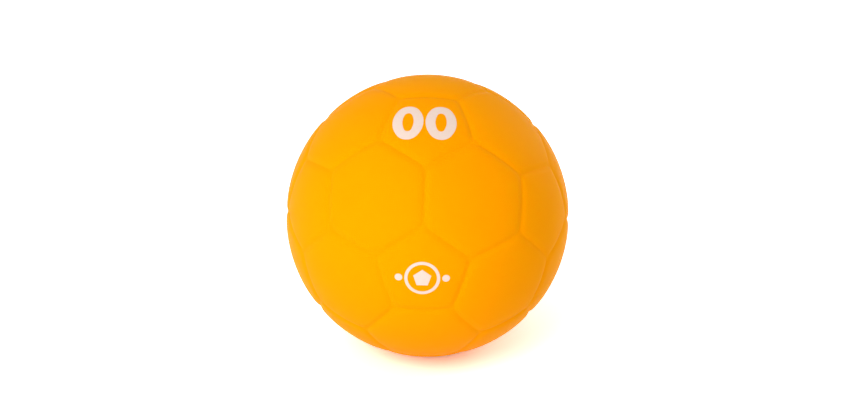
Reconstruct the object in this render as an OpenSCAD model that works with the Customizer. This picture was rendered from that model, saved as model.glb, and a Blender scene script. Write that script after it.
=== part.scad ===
// Children's handball, size 00: one soft skin of 32 moulded panels, blown up through a needle valve.
// The origin is the middle of the ball. +Z is up, -Y is the front panel that carries the mark,
// and the valve sits in the middle of the opposite panel, at +Y.

/* [Ball] */
// Diameter of the ball over its panels, for a girth of 440
ball_d = 140; // [120:1:190]
// Thickness of the moulded skin
wall = 2.6; // [2:0.1:4]

/* [Grooves between the panels] */
// Width of a groove
groove_w = 4.4; // [3:0.1:5.4]
// Depth of a groove below its two edges
groove_depth = 0.9; // [0.5:0.1:1.3]
// Width of the hollow where three grooves meet
corner_w = 6; // [5:0.1:8]
// Depth of that hollow below its edge
corner_depth = 1.1; // [0.7:0.1:1.5]

/* [Valve housing] */
// Width of the shallow dish that the valve lies in
dish_w = 16; // [14:0.5:22]
// Depth of the dish below its edge
dish_depth = 0.35; // [0.2:0.05:0.6]
// Diameter of the housing, and of the hole in the skin that it fills
housing_d = 11; // [9.5:0.5:13]
// Diameter of the flange that is fused to the inside of the skin
flange_d = 24; // [16:1:32]
// Thickness of the flange
flange_t = 1.5; // [1:0.1:2.5]
// Thickness of the housing below the core's tail
housing_floor = 3; // [1.5:0.5:6]
// Diameter of the air hole through that floor
air_hole_d = 2.5; // [1.5:0.1:4]
// Slope that takes off the housing's inner edge
housing_edge = 1; // [0.5:0.1:1.5]

/* [Valve core] */
// Diameter of the core's head
head_d = 6.4; // [5.6:0.1:8]
// Thickness of the head
head_t = 1.2; // [0.8:0.1:2]
// Diameter of the neck below the head
neck_d = 4.6; // [3.8:0.1:5.2]
// Length of the neck
neck_len = 5; // [3:0.5:8]
// Diameter of the bulb that holds the core in its housing
bulb_d = 7; // [6:0.1:8]
// Length of the bulb, with its two shoulders
bulb_len = 6; // [4:0.5:9]
// Length of one sloping shoulder of the bulb
shoulder_len = 1.4; // [0.6:0.1:1.8]
// Diameter of the tail below the bulb
tail_d = 4.6; // [3.6:0.1:5.4]
// Length of the tail
tail_len = 3; // [2:0.5:6]
// Gap between the core and its socket
core_gap = 0.05; // [0.02:0.01:0.2]

/* [Needle hole] */
// Diameter of the pump needle
needle_d = 2; // [1.6:0.1:2.4]
// Room around the needle in its hole
needle_gap = 0.2; // [0.05:0.05:0.4]
// Length of the straight hole, below which the core is a closed slit
needle_hole_len = 9; // [6:0.5:12]
// Diameter of the funnel that leads the needle in
funnel_d = 4; // [3.4:0.1:5]
// Depth of the funnel
funnel_depth = 0.8; // [0.4:0.1:1.2]

/* [Size number] */
// Height of a figure
figure_h = 20.9; // [16:0.1:22.5]
// Width of a figure
figure_w = 14.8; // [11:0.1:15.5]
// Width of a figure's stroke
stroke_w = 4.7; // [2:0.1:6]
// Space between the two figures
figure_gap = 1; // [0.5:0.1:2]
// Place of the number's middle to the right of its panel's middle
number_right = -1.3; // [-1.5:0.1:1]
// Place of the number's middle above its panel's middle
number_up = 0.7; // [-1:0.1:1]
// Thickness of the printed ink
ink_t = 0.08; // [0.04:0.01:0.2]

/* [Panel mark] */
// Diameter of the ring in the middle of the mark
ring_d = 17; // [12:0.5:19]
// Width of the ring's line
ring_line = 1.5; // [0.8:0.1:2.5]
// Width across the corners of the solid pentagon in the ring
kernel_d = 9; // [5:0.5:12]
// Diameter of the dot at either side
dot_d = 3.6; // [2:0.1:5]
// Space between the ring and a dot
dot_gap = 1; // [0.5:0.1:2]
// Place of the mark's middle to the right of its panel's middle
mark_right = -0.3; // [-1:0.1:1]
// Place of the mark's middle above its panel's middle
mark_up = -1.3; // [-3:0.1:2]

/* [Hidden] */
$fn = 64;

// How far a cut runs past the face that it goes through
overrun = 1;
// Share of an oval's half width that its end curve has as its radius, for a figure's outline and
// for the hole in it
figure_end_share = 0.8;
hole_end_share = 0.7;

skin_color = [0.97, 0.65, 0.02];
housing_color = [0.9, 0.55, 0.04];
core_color = [0.16, 0.16, 0.17];
ink_color = [0.98, 0.89, 0.86];

ball_r = ball_d / 2;
inside_r = ball_r - wall;

// A round hollow in the ball is given by its width and by its depth below its edge.
// This is how far its edge lies from the middle of the ball, its radius, and where its centre is.
function edge_height(w) = sqrt(ball_r * ball_r - w * w / 4);
function hollow_r(w, depth) = (w * w / 4 + depth * depth) / (2 * depth);
function hollow_centre(w, depth) = edge_height(w) - depth + hollow_r(w, depth);

// The panels are those of a truncated icosahedron, blown up to a sphere: 12 pentagons, 20 hexagons.
// The middles of the pentagons are 12 directions: the front and back ones, and a ring of 5 by each.
ring_angle = acos(1 / sqrt(5));
function direction(tilt, turn) = [sin(tilt) * sin(turn), -cos(tilt), sin(tilt) * cos(turn)];
pentagons = concat(
    [direction(0, 0), direction(180, 0)],
    [for (k = [0:4]) direction(ring_angle, 72 * k)],
    [for (k = [0:4]) direction(180 - ring_angle, 72 * k + 36)]
);

// Two pentagons are neighbours where the cosine between them is 1 / sqrt(5), and not -1 / sqrt(5).
// A panel's corner lies a third of the way from one pentagon's middle to its neighbour's.
function unit(v) = v / norm(v);
function are_neighbours(i, j) = i != j && pentagons[i] * pentagons[j] > 0;
function neighbours(i) = [for (j = [0:len(pentagons) - 1]) if (are_neighbours(i, j)) j];
function corner(i, j) = unit(2 * pentagons[i] + pentagons[j]);

all_pentagons = [0:len(pentagons) - 1];
corners = [for (i = all_pentagons) for (j = neighbours(i)) corner(i, j)];
hexagon_edges = [
    for (i = all_pentagons) for (j = neighbours(i)) if (i < j) [corner(i, j), corner(j, i)]
];
pentagon_edges = [
    for (i = all_pentagons) for (j = neighbours(i)) for (k = neighbours(i))
        if (j < k && are_neighbours(j, k)) [corner(i, j), corner(i, k)]
];
edges = concat(hexagon_edges, pentagon_edges);

// Heights in the valve, measured from the middle of the ball along the valve's axis
valve_face = edge_height(dish_w) - dish_depth;
head_base = valve_face - head_t;
neck_base = head_base - neck_len;
bulb_base = neck_base - bulb_len;
tail_base = bulb_base - tail_len;
housing_base = tail_base - housing_floor;

needle_hole_d = needle_d + 2 * needle_gap;
mark_dot_place = ring_d / 2 + dot_gap + dot_d / 2;

// A groove along the great circle from corner direction a to corner direction b
module groove(a, b) {
    pole = unit(cross(a, b));
    side = cross(pole, a);
    turned = [
        [a[0], side[0], pole[0], 0],
        [a[1], side[1], pole[1], 0],
        [a[2], side[2], pole[2], 0],
        [0, 0, 0, 1]
    ];
    multmatrix(turned)
        rotate_extrude(angle = acos(a * b))
            translate([hollow_centre(groove_w, groove_depth), 0])
                circle(r = hollow_r(groove_w, groove_depth));
}

// Turns a shape that stands along +Z so that it stands along +Y, where the valve is
module at_valve() {
    rotate([-90, 0, 0]) children();
}

// The round skin with its grooves, before it is hollow
module grooved_ball() {
    difference() {
        sphere(r = ball_r);
        for (e = edges) groove(e[0], e[1]);
    }
}

// One skin of soft plastic, turned and fused in a mould, so that its panels are only pressed in
module cover() {
    color(skin_color)
        difference() {
            grooved_ball();
            for (c = corners)
                translate(c * hollow_centre(corner_w, corner_depth))
                    sphere(r = hollow_r(corner_w, corner_depth));
            sphere(r = inside_r);
            at_valve() {
                translate([0, 0, hollow_centre(dish_w, dish_depth)])
                    sphere(r = hollow_r(dish_w, dish_depth));
                translate([0, 0, inside_r - overrun])
                    cylinder(d = housing_d, h = wall + 2 * overrun);
            }
        }
}

// Half of the core's outline, from its head down, grown sideways and downwards by a gap
function core_outline(gap, top) = [
    [0, top],
    [head_d / 2 + gap, top],
    [head_d / 2 + gap, head_base],
    [neck_d / 2 + gap, head_base],
    [neck_d / 2 + gap, neck_base],
    [bulb_d / 2 + gap, neck_base - shoulder_len],
    [bulb_d / 2 + gap, bulb_base + shoulder_len],
    [tail_d / 2 + gap, bulb_base],
    [tail_d / 2 + gap, tail_base - gap],
    [0, tail_base - gap]
];

// The housing of the valve: a stem with a socket for the core, and a flange under the skin
module valve_seat() {
    color(housing_color)
        at_valve()
            difference() {
                union() {
                    translate([0, 0, housing_base + housing_edge])
                        cylinder(d = housing_d, h = valve_face - housing_base - housing_edge);
                    translate([0, 0, housing_base])
                        cylinder(d1 = housing_d - 2 * housing_edge, d2 = housing_d, h = housing_edge);
                    intersection() {
                        difference() {
                            sphere(r = inside_r);
                            sphere(r = inside_r - flange_t);
                        }
                        cylinder(d = flange_d, h = ball_r);
                    }
                }
                rotate_extrude() polygon(core_outline(core_gap, valve_face + overrun));
                translate([0, 0, housing_base - overrun])
                    cylinder(d = air_hole_d, h = housing_floor + 2 * overrun);
            }
}

// The core of the valve: a rubber plug that closes by itself when the needle is drawn out
module valve_core() {
    color(core_color)
        at_valve()
            difference() {
                rotate_extrude() polygon(core_outline(0, valve_face));
                translate([0, 0, valve_face - funnel_depth - needle_hole_len])
                    cylinder(d = needle_hole_d, h = needle_hole_len + funnel_depth + overrun);
                translate([0, 0, valve_face - funnel_depth])
                    cylinder(d1 = needle_hole_d, d2 = funnel_d, h = funnel_depth);
            }
}

// A skin of ink on the ball, of the flat shape that is given, on the pentagon tilted up by an angle
module printed(tilt, right, up) {
    rotate([90 - tilt, 0, 0])
        intersection() {
            difference() {
                sphere(r = ball_r + ink_t);
                sphere(r = ball_r);
            }
            translate([right, up, 0]) linear_extrude(height = ball_d) children();
        }
}

// An upright oval of four arcs: two small ones at its ends and two large ones at its sides.
// Its points lie at even turns of the outward direction, from one arc to the next.
module oval(w, h, end_share) {
    end_r = end_share * w / 2;
    end_place = h / 2 - end_r;
    slack = w / 2 - end_r;
    side_place = (end_place * end_place - slack * slack) / (2 * slack);
    side_r = w / 2 + side_place;
    polygon([
        for (k = [0:$fn - 1])
            let (x = cos(360 * k / $fn), y = sin(360 * k / $fn))
            abs(y) * side_place > abs(x) * end_place
                ? [end_r * x, sign(y) * end_place + end_r * y]
                : [side_r * x - sign(x) * side_place, side_r * y]
    ]);
}

// The size number, two plain noughts
module size_number() {
    color(ink_color)
        printed(ring_angle, number_right, number_up)
            for (s = [-1, 1])
                translate([s * (figure_w + figure_gap) / 2, 0])
                    difference() {
                        oval(figure_w, figure_h, figure_end_share);
                        oval(figure_w - 2 * stroke_w, figure_h - 2 * stroke_w, hole_end_share);
                    }
}

// A plain mark on the front panel: a ring with a pentagon in it, between two dots
module panel_mark() {
    color(ink_color)
        printed(0, mark_right, mark_up) {
            difference() {
                circle(d = ring_d);
                circle(d = ring_d - 2 * ring_line);
            }
            rotate(90) circle(d = kernel_d, $fn = 5);
            for (s = [-1, 1]) translate([s * mark_dot_place, 0]) circle(d = dot_d);
        }
}

cover();
valve_seat();
valve_core();
size_number();
panel_mark();
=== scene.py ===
import math

import bmesh
import bpy
from mathutils import Matrix, Vector


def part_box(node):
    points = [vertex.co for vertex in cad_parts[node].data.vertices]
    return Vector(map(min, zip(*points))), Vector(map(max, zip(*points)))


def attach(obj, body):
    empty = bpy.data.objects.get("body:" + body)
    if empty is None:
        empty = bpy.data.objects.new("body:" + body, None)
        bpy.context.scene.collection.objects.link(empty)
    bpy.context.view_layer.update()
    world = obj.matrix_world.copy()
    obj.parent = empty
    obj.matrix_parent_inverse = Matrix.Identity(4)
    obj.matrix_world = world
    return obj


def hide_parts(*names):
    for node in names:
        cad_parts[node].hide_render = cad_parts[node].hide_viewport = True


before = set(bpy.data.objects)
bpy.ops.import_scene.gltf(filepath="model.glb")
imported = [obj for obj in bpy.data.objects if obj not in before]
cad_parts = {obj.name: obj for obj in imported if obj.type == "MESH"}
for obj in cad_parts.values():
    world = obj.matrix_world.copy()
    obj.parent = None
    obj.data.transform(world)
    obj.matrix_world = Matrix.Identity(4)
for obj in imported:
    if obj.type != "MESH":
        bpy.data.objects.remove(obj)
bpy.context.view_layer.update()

# The skin
# One hollow of soft plastic, poured into a mould that is turned until the plastic has fused to its
# wall. Nothing is sewn or glued: the mould presses rounded grooves into it along the edges of 12
# pentagons and 20 hexagons, and each panel swells a little between them.

ball_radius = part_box("cover")[1].z
inside_radius = min(v.co.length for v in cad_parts["cover"].data.vertices)

groove_width = 0.0056
groove_depth = 0.00062
groove_bottom = 0.0005
groove_corner = 0.0007
swell_height = 0.00025
swell_reach = 0.0055

valve_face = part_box("valve_core")[1].y
# Above this share of the skin's thickness the housing has no flange
flange_share = 0.2
valve_hole = max(
    math.hypot(v.co.x, v.co.z)
    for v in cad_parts["valve_seat"].data.vertices
    if v.co.y > inside_radius + flange_share * (valve_face - inside_radius)
)
dish_width = 0.0180
dish_at_hole = 0.0004
lip_width = 0.0009
lip_depth = 0.0003
merge_distance = 0.000003
sharp_bend = 0.7
flat_bend = 0.01
# Only the valve panel's middle points this far to the back, as a cosine
valve_panel_cosine = 0.95
row_crowding = 1.8
side_columns = 25
side_rows = 17
inside_rows = 26

skin_colour = (0.98, 0.33, 0.0)
# The darker end serves both the plastic's uneven tone and the painted shade in the grooves
deep_skin_colour = (0.96, 0.30, 0.0)
cloud_size = 0.030
mottle_size = 0.006
mottle_height = 0.000015
grain_size = 0.0005
grain_height = 0.000022
# Painted shade: how far the colour goes towards the darker one at a groove's bottom
groove_painted_shade = 0.12
cloud_tint = 0.5
mottle_tint = 0.25
skin_roughness = 0.46
mottle_roughness = 0.1
groove_roughness = 0.06
skin_specular = 0.01
glow_share = 0.25
glow_spread = (1.0, 0.4, 0.1)
glow_depth = 0.0015


class Wire:
    """A socket of a node tree. Sums on it add Math nodes, or Vector Math nodes where it is a vector."""

    def __init__(self, tree, socket=None):
        self.tree = tree
        self.socket = socket

    @staticmethod
    def find(sockets, key):
        if isinstance(key, int):
            return sockets[key]
        return next(s for s in sockets if s.enabled and s.name == key)

    def node(self, kind, settings=None, inputs=None, output=0):
        made = self.tree.nodes.new(kind)
        for name, value in (settings or {}).items():
            setattr(made, name, value)
        for key, value in (inputs or {}).items():
            socket = self.find(made.inputs, key)
            for wire in value if isinstance(value, list) else [value]:
                if isinstance(wire, Wire):
                    self.tree.links.new(wire.socket, socket)
                else:
                    socket.default_value = wire
        outputs = [s for s in made.outputs if s.enabled]
        return Wire(self.tree, self.find(outputs, output)) if outputs else None

    def other(self, name):
        return Wire(self.tree, self.find(self.socket.node.outputs, name))

    def maths(self, operation, *values):
        if any(isinstance(v, Wire) and v.socket.type == "VECTOR" for v in values):
            values = [(v, v, v) if isinstance(v, (int, float)) else v for v in values]
            return self.node("ShaderNodeVectorMath", {"operation": operation}, dict(enumerate(values)))
        return self.node("ShaderNodeMath", {"operation": operation}, dict(enumerate(values)))

    def __add__(self, other):
        return self.maths("ADD", self, other)

    def __radd__(self, other):
        return self.maths("ADD", other, self)

    def __sub__(self, other):
        return self.maths("SUBTRACT", self, other)

    def __rsub__(self, other):
        return self.maths("SUBTRACT", other, self)

    def __mul__(self, other):
        return self.maths("MULTIPLY", self, other)

    def __rmul__(self, other):
        return self.maths("MULTIPLY", other, self)

    def __truediv__(self, other):
        return self.maths("DIVIDE", self, other)

    def __pow__(self, other):
        return self.maths("POWER", self, other)

    def __rpow__(self, other):
        return self.maths("POWER", other, self)

    def least(self, other):
        return self.maths("MINIMUM", self, other)

    def most(self, other):
        return self.maths("MAXIMUM", self, other)

    def vector(self, operation, *others, output=0):
        values = dict(enumerate((self,) + others))
        return self.node("ShaderNodeVectorMath", {"operation": operation}, values, output)

    def dot(self, other):
        return self.vector("DOT_PRODUCT", other, output="Value")

    def cross(self, other):
        return self.vector("CROSS_PRODUCT", other)

    def unit(self):
        return self.vector("NORMALIZE")

    def length(self):
        return self.vector("LENGTH", output="Value")

    def towards(self, other, share):
        return self + (other - self) * share


def new_tree(name, inputs):
    """A tree of geometry nodes with these named inputs, their wires, and a start for new nodes"""
    tree = bpy.data.node_groups.new(name, "GeometryNodeTree")
    for label, kind in {"Geometry": "Geometry", **inputs}.items():
        tree.interface.new_socket(label, in_out="INPUT", socket_type="NodeSocket" + kind)
    tree.interface.new_socket("Geometry", in_out="OUTPUT", socket_type="NodeSocketGeometry")
    start = Wire(tree)
    first = start.node("NodeGroupInput")
    wires = {s.name: Wire(tree, s) for s in first.socket.node.outputs if s.name}
    return tree, start, wires


def grow(piece, tree, values):
    """Runs a tree on a piece with these values of its inputs, and keeps the result as a plain mesh"""
    modifier = piece.modifiers.new(tree.name, "NODES")
    modifier.node_group = tree
    for item in tree.interface.items_tree:
        if item.in_out == "INPUT" and item.name in values:
            modifier[item.identifier] = values[item.name]
    view = bpy.context.evaluated_depsgraph_get()
    mesh = bpy.data.meshes.new_from_object(piece.evaluated_get(view))
    piece.modifiers.remove(modifier)
    piece.data = mesh
    return piece


def new_piece(name, mesh):
    piece = bpy.data.objects.new(name, mesh)
    scene.collection.objects.link(piece)
    return piece


scene = bpy.context.scene

# The middles of the pentagons are the corners of an icosahedron: the front one, the back one, and a
# ring of five next to each. Every panel corner lies a third of the way between two of them.
ring_tilt = math.acos(1 / math.sqrt(5))
fifth = 2 * math.pi / 5


def direction(tilt, turn):
    return Vector((math.sin(tilt) * math.sin(turn), -math.cos(tilt), math.sin(tilt) * math.cos(turn)))


pentagons = [direction(0, 0), direction(math.pi, 0)]
pentagons += [direction(ring_tilt, k * fifth) for k in range(5)]
pentagons += [direction(math.pi - ring_tilt, (k + 0.5) * fifth) for k in range(5)]
corners = [
    (2 * a + b).normalized() for a in pentagons for b in pentagons if a != b and a.dot(b) > 0
]


def panel_cage():
    """The 32 flat panels between those corners"""
    shape = bmesh.new()
    for corner in corners:
        shape.verts.new(corner)
    bmesh.ops.convex_hull(shape, input=shape.verts)
    bmesh.ops.dissolve_limit(shape, angle_limit=flat_bend, verts=shape.verts, edges=shape.edges)
    bmesh.ops.recalc_face_normals(shape, faces=shape.faces)
    mesh = bpy.data.meshes.new("panel_cage")
    shape.to_mesh(mesh)
    shape.free()
    return mesh


def skin_tree():
    """Fills each side of each panel with a grid, and presses the grooves and the valve's dish into it"""
    tree, start, given = new_tree(
        "moulded_skin",
        {
            "Ball Radius": "Float",
            "Inside Radius": "Float",
            "Groove Width": "Float",
            "Groove Depth": "Float",
            "Groove Bottom": "Float",
            "Groove Corner": "Float",
            "Swell Height": "Float",
            "Swell Reach": "Float",
            "Hole Radius": "Float",
            "Dish Width": "Float",
            "Dish At Hole": "Float",
            "Lip Width": "Float",
            "Lip Depth": "Float",
            "Merge Distance": "Float",
            "Sharp Bend": "Float",
            "Columns": "Int",
            "Rows": "Int",
            "Inside Rows": "Int",
            "Material": "Material",
        },
    )

    def store(geometry, name, domain, value, kind="FLOAT_VECTOR"):
        settings = {"data_type": kind, "domain": domain}
        values = {"Geometry": geometry, "Name": name, "Value": value}
        return start.node("GeometryNodeStoreNamedAttribute", settings, values)

    def stored(name):
        settings = {"data_type": "FLOAT_VECTOR"}
        return start.node("GeometryNodeInputNamedAttribute", settings, {"Name": name})

    # Each corner of a panel carries its own place, the next corner's and the panel's middle
    index = start.node("GeometryNodeInputIndex")
    position = start.node("GeometryNodeInputPosition")

    def place_at(domain, where):
        settings = {"data_type": "FLOAT_VECTOR", "domain": domain}
        return start.node("GeometryNodeFieldAtIndex", settings, {"Index": where, "Value": position})

    def corner_place(steps):
        values = {"Corner Index": index, "Offset": steps}
        corner = start.node("GeometryNodeOffsetCornerInFace", {}, values)
        vertex = start.node("GeometryNodeVertexOfCorner", {}, {"Corner Index": corner})
        return place_at("POINT", vertex)

    face = start.node("GeometryNodeFaceOfCorner", {}, {"Corner Index": index})
    cage = store(given["Geometry"], "here", "CORNER", corner_place(0))
    cage = store(cage, "next", "CORNER", corner_place(1))
    cage = store(cage, "middle", "CORNER", place_at("FACE", face))
    sides = start.node("GeometryNodeMeshToPoints", {"mode": "CORNERS"}, {"Mesh": cage})

    def grid_on(points, rows):
        sizes = {"Size X": 1.0, "Size Y": 1.0, "Vertices X": given["Columns"], "Vertices Y": rows}
        grid = store(start.node("GeometryNodeMeshGrid", {}, sizes), "cell", "POINT", position + 0.5)
        copies = start.node("GeometryNodeInstanceOnPoints", {}, {"Points": points, "Instance": grid})
        return start.node("GeometryNodeRealizeInstances", {}, {"Geometry": copies})

    here, ahead, middle, cell = (stored(n) for n in ("here", "next", "middle", "cell"))
    cell = start.node("ShaderNodeSeparateXYZ", {}, {"Vector": cell})
    along, inward = cell, cell.other("Y")
    edge = here.towards(ahead, along)
    spoke = (edge - middle).unit()
    back = (0.0, 1.0, 0.0)
    turned_back = middle.unit().dot(back)
    is_valve = turned_back.maths("GREATER_THAN", turned_back, valve_panel_cosine)

    def beside(point, corner, far):
        """How far a point lies from the groove that runs from a corner towards a far point"""
        reach = point - corner
        run = reach.dot((far - corner).unit()).most(0.0)
        return (reach.dot(reach) - run * run).most(0.0) ** 0.5

    def mirrored(point, through):
        pole = middle.cross(through).unit()
        return point - pole * (2.0 * point.dot(pole))

    def height(out):
        """How far the skin lies from the middle of the ball in a direction, and how deep in a groove"""
        distances = [
            out.dot(here.cross(ahead).unit()),
            beside(out, here, mirrored(ahead, here)),
            beside(out, ahead, mirrored(here, ahead)),
            (out - here).length(),
            (out - ahead).length(),
        ]
        soft = given["Groove Corner"] / given["Ball Radius"]
        parts = [math.e ** (0.0 - d / soft) for d in distances]
        total = parts[0] + parts[1] + parts[2] + parts[3] + parts[4]
        distance = total.maths("LOGARITHM", total, math.e) * given["Groove Corner"] * -1.0
        bottom = given["Groove Bottom"]
        across = (distance * distance + bottom * bottom) ** 0.5 - bottom
        across = (across / (given["Groove Width"] * 0.5)).least(1.0)
        groove = (1.0 - across) ** 2.0
        swell = math.e ** (0.0 - (distance / given["Swell Reach"]) ** 2.0)
        from_axis = given["Ball Radius"] * out.cross(back).length()
        dish_edge = given["Dish Width"] * 0.5
        dish = (1.0 - ((from_axis / dish_edge).least(1.0)) ** 2.0) ** 2.0
        dish_there = (1.0 - (given["Hole Radius"] / dish_edge) ** 2.0) ** 2.0
        dish = dish * given["Dish At Hole"] / dish_there * is_valve
        past_lip = ((from_axis - given["Hole Radius"]) / given["Lip Width"]).most(0.0).least(1.0)
        lip = given["Lip Depth"] * (1.0 - past_lip) ** 2.0 * is_valve
        lowered = given["Groove Depth"] * groove + given["Swell Height"] * swell + dish + lip
        return given["Ball Radius"] - lowered, groove

    # Rows lie close together by the grooves, and in the valve's panel also by its hole
    near_groove = inward ** row_crowding
    near_both = inward * inward * (3.0 - 2.0 * inward)
    share = near_groove + (near_both - near_groove) * is_valve
    rim = given["Ball Radius"] - given["Dish At Hole"]
    hole_sine = given["Hole Radius"] / rim
    hole_slope = hole_sine / (1.0 - hole_sine * hole_sine) ** 0.5
    hole = middle + spoke * (middle.length() * hole_slope * is_valve)
    out = edge.towards(hole, share).unit()
    far, groove = height(out)
    outside = start.node(
        "GeometryNodeSetPosition", {}, {"Geometry": grid_on(sides, given["Rows"]), "Position": out * far}
    )
    outside = store(outside, "groove", "POINT", groove, "FLOAT")

    # From the hole's edge the skin goes straight in, and then round the inside of the ball
    valve_sides = start.node(
        "GeometryNodeSeparateGeometry", {"domain": "POINT"}, {"Geometry": sides, "Selection": is_valve}
    )
    step = inward * (given["Inside Rows"] - 1.0)
    in_hole = step.least(1.0)
    round_share = (step - 1.0).most(0.0) / (given["Inside Rows"] - 2.0)
    sine = given["Hole Radius"] / given["Inside Radius"]
    angle = sine.maths("ARCSINE", sine)
    angle = angle + (math.pi - angle) * round_share
    axis = start.node("ShaderNodeCombineXYZ", {}, {"X": 0.0, "Y": 1.0, "Z": 0.0})
    inner = axis * angle.maths("COSINE", angle) + spoke * angle.maths("SINE", angle)
    inner = inner * given["Inside Radius"]
    edge_out = hole.unit()
    edge_far, _ = height(edge_out)
    inside = start.node(
        "GeometryNodeSetPosition",
        {},
        {
            "Geometry": grid_on(valve_sides, given["Inside Rows"]),
            "Position": (edge_out * edge_far).towards(inner, in_hole),
        },
    )

    whole = start.node("GeometryNodeJoinGeometry", {}, {"Geometry": [outside, inside]})
    for name in ("here", "next", "middle", "cell"):
        whole = start.node("GeometryNodeRemoveAttribute", {}, {"Geometry": whole, "Name": name})
    values = {"Geometry": whole, "Distance": given["Merge Distance"]}
    whole = start.node("GeometryNodeMergeByDistance", {}, values)
    whole = start.node("GeometryNodeSetShadeSmooth", {}, {"Geometry": whole})
    bend = start.node("GeometryNodeInputMeshEdgeAngle")
    is_sharp = bend.maths("GREATER_THAN", bend, given["Sharp Bend"])
    whole = store(whole, "sharp_edge", "EDGE", is_sharp, "BOOLEAN")
    whole = start.node("GeometryNodeRealizeInstances", {}, {"Geometry": whole})
    values = {"Geometry": whole, "Material": given["Material"]}
    whole = start.node("GeometryNodeSetMaterial", {}, values)
    start.node("NodeGroupOutput", {}, {"Geometry": whole})
    return tree


def new_material(name):
    """An empty material, and a start for its nodes"""
    material = bpy.data.materials.new(name)
    material.use_nodes = True
    material.node_tree.nodes.clear()
    return material, Wire(material.node_tree)


def finish(start, values):
    """Ends a material in a shader with these constants and wires"""
    shader = start.node("ShaderNodeBsdfPrincipled", {}, values)
    start.node("ShaderNodeOutputMaterial", {}, {"Surface": shader})


def noise(place, size, detail=2.0):
    """Soft noise from 0 to 1, with spots of about this size"""
    values = {"Vector": place, "Scale": 1 / size, "Detail": detail, "Roughness": 0.5}
    return place.node("ShaderNodeTexNoise", {"noise_dimensions": "3D"}, values)


def blend(start, share, first, second):
    """A colour from the first to the second as the share goes from 0 to 1"""
    values = {"Factor": share, "A": (*first, 1.0), "B": (*second, 1.0)}
    return start.node("ShaderNodeMix", {"data_type": "RGBA"}, values, "Result")


def relief(start, height):
    """The normal of a surface that is raised by this height in metres"""
    return start.node("ShaderNodeBump", {}, {"Strength": 1.0, "Distance": 1.0, "Height": height})


def soft_plastic(name, colour, deep_colour):
    """Soft plastic with pigment all through: a faint cloudiness, a fine grain, and painted shade that
    darkens the grooves
    """
    material, start = new_material(name)
    place = start.node("ShaderNodeTexCoord", {}, {}, "Object")
    cloud = noise(place, cloud_size) - 0.5
    mottle = noise(place, mottle_size) - 0.5
    grain = noise(place, grain_size, detail=1.0) - 0.5
    groove = start.node("ShaderNodeAttribute", {"attribute_name": "groove"}, {}, "Fac")
    # Painted shade darkens the colour in the grooves; the cloud and mottle are the plastic's own uneven
    # tone
    deep = groove * groove_painted_shade + cloud * cloud_tint + mottle * mottle_tint
    deep = deep.most(0.0).least(1.0)
    finish(
        start,
        {
            "Base Color": blend(start, deep, colour, deep_colour),
            "Roughness": skin_roughness + mottle * mottle_roughness + groove * groove_roughness,
            "Normal": relief(start, grain * grain_height + mottle * mottle_height),
            "Specular IOR Level": skin_specular,
            "Specular Tint": (*colour, 1.0),
            "Subsurface Weight": glow_share,
            "Subsurface Radius": glow_spread,
            "Subsurface Scale": glow_depth,
        },
    )
    return material


skin = grow(
    new_piece("ball_skin", panel_cage()),
    skin_tree(),
    {
        "Ball Radius": ball_radius,
        "Inside Radius": inside_radius,
        "Groove Width": groove_width,
        "Groove Depth": groove_depth,
        "Groove Bottom": groove_bottom,
        "Groove Corner": groove_corner,
        "Swell Height": swell_height,
        "Swell Reach": swell_reach,
        "Hole Radius": valve_hole,
        "Dish Width": dish_width,
        "Dish At Hole": dish_at_hole,
        "Lip Width": lip_width,
        "Lip Depth": lip_depth,
        "Merge Distance": merge_distance,
        "Sharp Bend": sharp_bend,
        "Columns": side_columns,
        "Rows": side_rows,
        "Inside Rows": inside_rows,
        "Material": soft_plastic("soft_plastic", skin_colour, deep_skin_colour),
    },
)
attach(skin, "root")
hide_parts("cover")

# The valve
# A housing of the same soft plastic, moulded first and fused to the inside of the skin by its flange,
# and a rubber plug pressed into it. A pump's needle goes through the plug, which then shuts by itself.

edge_round = 0.00022
edge_steps = 4
corner_angle = math.radians(35)
weld_distance = 0.000001
flat_angle = 0.002
housing_colour = (0.86, 0.29, 0.0)
deep_housing_colour = (0.80, 0.24, 0.0)
rubber_colour = (0.016, 0.015, 0.014)
bloom_colour = (0.032, 0.030, 0.028)
bloom_size = 0.0012
pore_size = 0.00018
pore_height = 0.000008
rubber_roughness = 0.5
bloom_roughness = 0.25
rubber_specular = 0.4


def rounded_copy(node, name, material):
    """A copy of a construction node with its sharp edges rounded off"""
    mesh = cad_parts[node].data.copy()
    shape = bmesh.new()
    shape.from_mesh(mesh)
    bmesh.ops.remove_doubles(shape, verts=shape.verts, dist=weld_distance)
    bmesh.ops.dissolve_limit(shape, angle_limit=flat_angle, verts=shape.verts, edges=shape.edges)
    for face in shape.faces:
        face.smooth = True
        face.material_index = 0
    shape.to_mesh(mesh)
    shape.free()
    mesh.materials.clear()
    mesh.materials.append(material)
    piece = new_piece(name, mesh)
    bevel = piece.modifiers.new("rounding", "BEVEL")
    bevel.width = edge_round
    bevel.segments = edge_steps
    bevel.limit_method = "ANGLE"
    bevel.angle_limit = corner_angle
    evened = piece.modifiers.new("evening", "WEIGHTED_NORMAL")
    evened.keep_sharp = True
    view = bpy.context.evaluated_depsgraph_get()
    mesh = bpy.data.meshes.new_from_object(piece.evaluated_get(view))
    piece.modifiers.clear()
    piece.data = mesh
    return piece


def valve_rubber():
    """Black rubber with a fine dull bloom"""
    material, start = new_material("valve_rubber")
    place = start.node("ShaderNodeTexCoord", {}, {}, "Object")
    bloom = noise(place, bloom_size, detail=3.0)
    pores = noise(place, pore_size, detail=1.0)
    finish(
        start,
        {
            "Base Color": blend(start, bloom, rubber_colour, bloom_colour),
            "Roughness": rubber_roughness + (bloom - 0.5) * bloom_roughness,
            "Normal": relief(start, pores * pore_height),
            "Specular IOR Level": rubber_specular,
        },
    )
    return material


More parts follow.
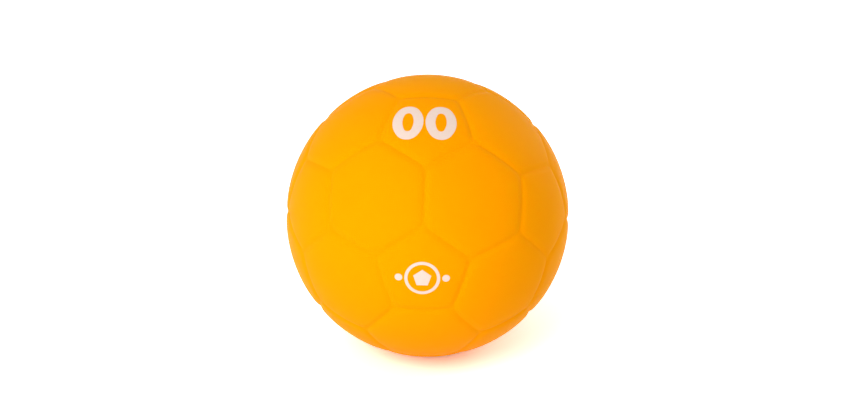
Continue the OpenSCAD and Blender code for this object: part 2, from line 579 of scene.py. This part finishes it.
housing_plastic = soft_plastic("housing_plastic", housing_colour, deep_housing_colour)
housing = rounded_copy("valve_seat", "valve_housing", housing_plastic)
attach(housing, "root")
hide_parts("valve_seat")

plug = rounded_copy("valve_core", "valve_plug", valve_rubber())
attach(plug, "root")
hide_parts("valve_core")

# The two prints
# Pale ink, laid on the finished ball by a soft pad, so that it follows the swell of the panels: the
# size number on the upper front panel, and a plain ring, pentagon and dots on the lower one.

ink_thickness = 0.00006
ink_sink = 0.00003
figure_height = 0.0209
figure_width = 0.0148
figure_stroke = 0.0047
figure_gap = 0.0010
figure_end_share = 0.8
hole_end_share = 0.7
number_right = -0.0013
number_up = 0.0007
ring_width = 0.0170
ring_line = 0.0015
kernel_width = 0.0090
dot_width = 0.0036
dot_gap = 0.0010
mark_right = -0.0003
mark_up = -0.0013
pad_reach = 1.2 * ball_radius
oval_steps = 96
figure_rings = 5
ring_steps = 96
ring_rings = 3
kernel_sides = 5
kernel_steps = 60
kernel_rings = 8
dot_steps = 40
dot_rings = 4

thin_ink_colour = (0.76, 0.58, 0.49)
full_ink_colour = (0.80, 0.64, 0.56)
ink_spot_size = 0.0016
ink_grain_size = 0.0003
ink_grain_height = 0.000010
ink_roughness = 0.62
spot_roughness = 0.15
ink_specular = 0.25


def oval(width, height, end_share):
    """An upright oval of four arcs, as points at even turns of its outward direction"""
    end_radius = end_share * width / 2
    end_place = height / 2 - end_radius
    slack = width / 2 - end_radius
    side_place = (end_place ** 2 - slack ** 2) / (2 * slack)
    side_radius = width / 2 + side_place
    points = []
    for k in range(oval_steps):
        turn = 2 * math.pi * k / oval_steps
        x, y = math.cos(turn), math.sin(turn)
        if abs(y) * side_place > abs(x) * end_place:
            points.append((end_radius * x, math.copysign(end_place, y) + end_radius * y))
        else:
            points.append((side_radius * x - math.copysign(side_place, x), side_radius * y))
    return points


def regular(width, sides, steps):
    """A regular shape with this many sides and one corner up"""
    points = []
    for k in range(steps):
        turn = math.pi / 2 + 2 * math.pi * k / steps
        side = (k % (steps / sides)) * 2 * math.pi / steps - math.pi / sides
        radius = width / 2 * math.cos(math.pi / sides) / math.cos(side)
        points.append((radius * math.cos(turn), radius * math.sin(turn)))
    return points


def fill(shape, outer, inner, middle, rings):
    """Rings of small faces between two outlines, or in to the middle of the outer one"""
    inner = inner or [(0.0, 0.0)] * len(outer)
    centre = Vector(middle).to_3d()
    loops = []
    for j in range(rings + 1):
        places = [Vector(a).lerp(Vector(b), j / rings).to_3d() for a, b in zip(outer, inner)]
        loops.append([shape.verts.new(centre + place) for place in places])
    count = len(outer)
    for first, second in zip(loops, loops[1:]):
        for k in range(count):
            n = (k + 1) % count
            shape.faces.new((first[k], first[n], second[n], second[k]))


def size_number(shape):
    outer = oval(figure_width, figure_height, figure_end_share)
    inner = oval(figure_width - 2 * figure_stroke, figure_height - 2 * figure_stroke, hole_end_share)
    for side in (-1, 1):
        right = number_right + side * (figure_width + figure_gap) / 2
        fill(shape, outer, inner, (right, number_up), figure_rings)


def panel_mark(shape):
    middle = (mark_right, mark_up)
    outer = regular(ring_width, ring_steps, ring_steps)
    inner = regular(ring_width - 2 * ring_line, ring_steps, ring_steps)
    fill(shape, outer, inner, middle, ring_rings)
    kernel = regular(kernel_width, kernel_sides, kernel_steps)
    fill(shape, kernel, None, middle, kernel_rings)
    dot = regular(dot_width, dot_steps, dot_steps)
    for side in (-1, 1):
        right = mark_right + side * (ring_width / 2 + dot_gap + dot_width / 2)
        fill(shape, dot, None, (right, mark_up), dot_rings)


def print_tree():
    """Drops flat ink on the skin along the panel's own direction, and gives it a thickness"""
    tree, start, given = new_tree(
        "pad_print",
        {
            "Skin": "Object",
            "Out": "Vector",
            "Reach": "Float",
            "Sink": "Float",
            "Thickness": "Float",
            "Merge Distance": "Float",
            "Sharp Bend": "Float",
            "Material": "Material",
        },
    )
    settings = {"transform_space": "RELATIVE"}
    target = start.node("GeometryNodeObjectInfo", settings, {"Object": given["Skin"]}, "Geometry")
    position = start.node("GeometryNodeInputPosition")
    hit = start.node(
        "GeometryNodeRaycast",
        {"data_type": "FLOAT"},
        {
            "Target Geometry": target,
            "Source Position": position + given["Out"] * given["Reach"],
            "Ray Direction": given["Out"] * -1.0,
            "Ray Length": given["Reach"],
        },
        "Hit Position",
    )
    values = {"Geometry": given["Geometry"], "Position": hit - hit.unit() * given["Sink"]}
    laid = start.node("GeometryNodeSetPosition", {}, values)
    thickness = given["Sink"] + given["Thickness"]
    values = {"Mesh": laid, "Offset Scale": thickness, "Individual": False}
    top = start.node("GeometryNodeExtrudeMesh", {"mode": "FACES"}, values)
    under = start.node("GeometryNodeFlipFaces", {}, {"Mesh": laid})
    whole = start.node("GeometryNodeJoinGeometry", {}, {"Geometry": [top, under]})
    values = {"Geometry": whole, "Distance": given["Merge Distance"]}
    whole = start.node("GeometryNodeMergeByDistance", {}, values)
    whole = start.node("GeometryNodeSetShadeSmooth", {}, {"Geometry": whole})
    bend = start.node("GeometryNodeInputMeshEdgeAngle")
    is_sharp = bend.maths("GREATER_THAN", bend, given["Sharp Bend"])
    settings = {"data_type": "BOOLEAN", "domain": "EDGE"}
    values = {"Geometry": whole, "Name": "sharp_edge", "Value": is_sharp}
    whole = start.node("GeometryNodeStoreNamedAttribute", settings, values)
    whole = start.node("GeometryNodeRealizeInstances", {}, {"Geometry": whole})
    values = {"Geometry": whole, "Material": given["Material"]}
    whole = start.node("GeometryNodeSetMaterial", {}, values)
    start.node("NodeGroupOutput", {}, {"Geometry": whole})
    return tree


def pale_ink():
    """Matt pale ink that lets a little of the orange through where it is thin"""
    material, start = new_material("pale_ink")
    place = start.node("ShaderNodeTexCoord", {}, {}, "Object")
    cover = noise(place, ink_spot_size, detail=3.0)
    grain = noise(place, ink_grain_size, detail=1.0)
    finish(
        start,
        {
            "Base Color": blend(start, cover, thin_ink_colour, full_ink_colour),
            "Roughness": ink_roughness + (cover - 0.5) * spot_roughness,
            "Normal": relief(start, grain * ink_grain_height),
            "Specular IOR Level": ink_specular,
        },
    )
    return material


ink = pale_ink()
pad_print = print_tree()


def printed(name, draw, tilt):
    """Draws flat ink in the plane of a front panel, and prints it on the skin"""
    shape = bmesh.new()
    draw(shape)
    bmesh.ops.remove_doubles(shape, verts=shape.verts, dist=weld_distance)
    bmesh.ops.recalc_face_normals(shape, faces=shape.faces)
    out = direction(tilt, 0)
    right = Vector((1, 0, 0))
    up = out.cross(right)
    turned = Matrix((right, up, out)).transposed().to_4x4()
    bmesh.ops.transform(shape, matrix=turned, verts=shape.verts)
    for face in shape.faces:
        if face.normal.dot(out) < 0:
            face.normal_flip()
    mesh = bpy.data.meshes.new(name)
    shape.to_mesh(mesh)
    shape.free()
    piece = grow(
        new_piece(name, mesh),
        pad_print,
        {
            "Skin": skin,
            "Out": out,
            "Reach": pad_reach,
            "Sink": ink_sink,
            "Thickness": ink_thickness,
            "Merge Distance": weld_distance,
            "Sharp Bend": sharp_bend,
            "Material": ink,
        },
    )
    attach(piece, "root")
    return piece


number_print = printed("number_print", size_number, ring_tilt)
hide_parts("size_number")

mark_print = printed("mark_print", panel_mark, 0)
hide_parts("panel_mark")

# The studio
# A plain white table that shows the ball's own shadow and glow, a wide soft lamp in front at the left,
# a weaker one behind at the right, and even light from all around.

ambient_level = 0.61
front_level = 0.76
back_level = 0.30
lamp_distance = 1.5
lamp_size = 1.0
table_white = 0.95
table_seen_white = 1.85
table_half_width = 3.0
table_roughness = 0.9


def seen_directly(start):
    """1 for what the camera sees itself, in a mirror or through glass, and 0 for light on the object"""
    path = start.node("ShaderNodeLightPath", {}, {}, "Is Camera Ray")
    return (path + path.other("Is Glossy Ray") + path.other("Is Transmission Ray")).least(1.0)


def table_top():
    """White that is brighter for the camera, so that only the ball's own shadow tints it"""
    material, start = new_material("table_top")
    white = table_white + seen_directly(start) * (table_seen_white - table_white)
    finish(start, {"Base Color": white, "Roughness": table_roughness, "Specular IOR Level": 0.0})
    return material


table_mesh = bpy.data.meshes.new("table")
around = ((-1, -1), (1, -1), (1, 1), (-1, 1))
table_corners = [(x * table_half_width, y * table_half_width, -ball_radius) for x, y in around]
table_mesh.from_pydata(table_corners, [], [(0, 1, 2, 3)])
table_mesh.materials.append(table_top())
table = new_piece("table", table_mesh)

world = bpy.data.worlds.new("studio")
world.use_nodes = True
world.node_tree.nodes.clear()
start = Wire(world.node_tree)
level = ambient_level + seen_directly(start) * (1.0 - ambient_level)
sky = start.node("ShaderNodeBackground", {}, {"Color": (1.0, 1.0, 1.0, 1.0), "Strength": level})
start.node("ShaderNodeOutputWorld", {}, {"Surface": sky})
scene.world = world

camera_azimuth = math.radians(1.45)
camera_elevation = math.radians(24.1)
camera_roll = math.radians(0.85)
camera_distance = 20 * ball_radius
camera_lens = 119.0
sensor_width = 36
picture_width = 854
shift_right = -0.5
shift_up = 10.7
back = Vector(
    (
        math.sin(camera_azimuth) * math.cos(camera_elevation),
        -math.cos(camera_azimuth) * math.cos(camera_elevation),
        math.sin(camera_elevation),
    )
)
level_right = Vector((math.cos(camera_azimuth), math.sin(camera_azimuth), 0))
level_up = back.cross(level_right)
right = level_right * math.cos(camera_roll) + level_up * math.sin(camera_roll)
up = level_up * math.cos(camera_roll) - level_right * math.sin(camera_roll)

camera_data = bpy.data.cameras.new("camera")
camera_data.lens = camera_lens
camera_data.sensor_width = sensor_width
camera_data.shift_x = shift_right / picture_width
camera_data.shift_y = shift_up / picture_width
camera = bpy.data.objects.new("camera", camera_data)
camera_turn = Matrix((right, up, back)).transposed().to_4x4()
camera.matrix_world = Matrix.Translation(back * camera_distance) @ camera_turn
scene.collection.objects.link(camera)
scene.camera = camera


def soft_lamp(name, towards, level):
    """A wide square lamp that gives a surface facing it about this level of light"""
    data = bpy.data.lights.new(name, "AREA")
    data.shape = "SQUARE"
    data.size = lamp_size
    data.energy = level * (math.pi * lamp_distance) ** 2
    lamp = bpy.data.objects.new(name, data)
    turn = towards.to_track_quat("Z", "Y").to_matrix().to_4x4()
    lamp.matrix_world = Matrix.Translation(towards * lamp_distance) @ turn
    scene.collection.objects.link(lamp)


# The front lamp stands left of the camera, and the back lamp behind the ball at the right
front_towards = right * -0.50 + up * 0.12 + back * 0.86
back_towards = Vector((0.70, 0.65, 0.30))
soft_lamp("front_lamp", front_towards.normalized(), front_level)
soft_lamp("back_lamp", back_towards.normalized(), back_level)

scene.view_settings.view_transform = "Standard"
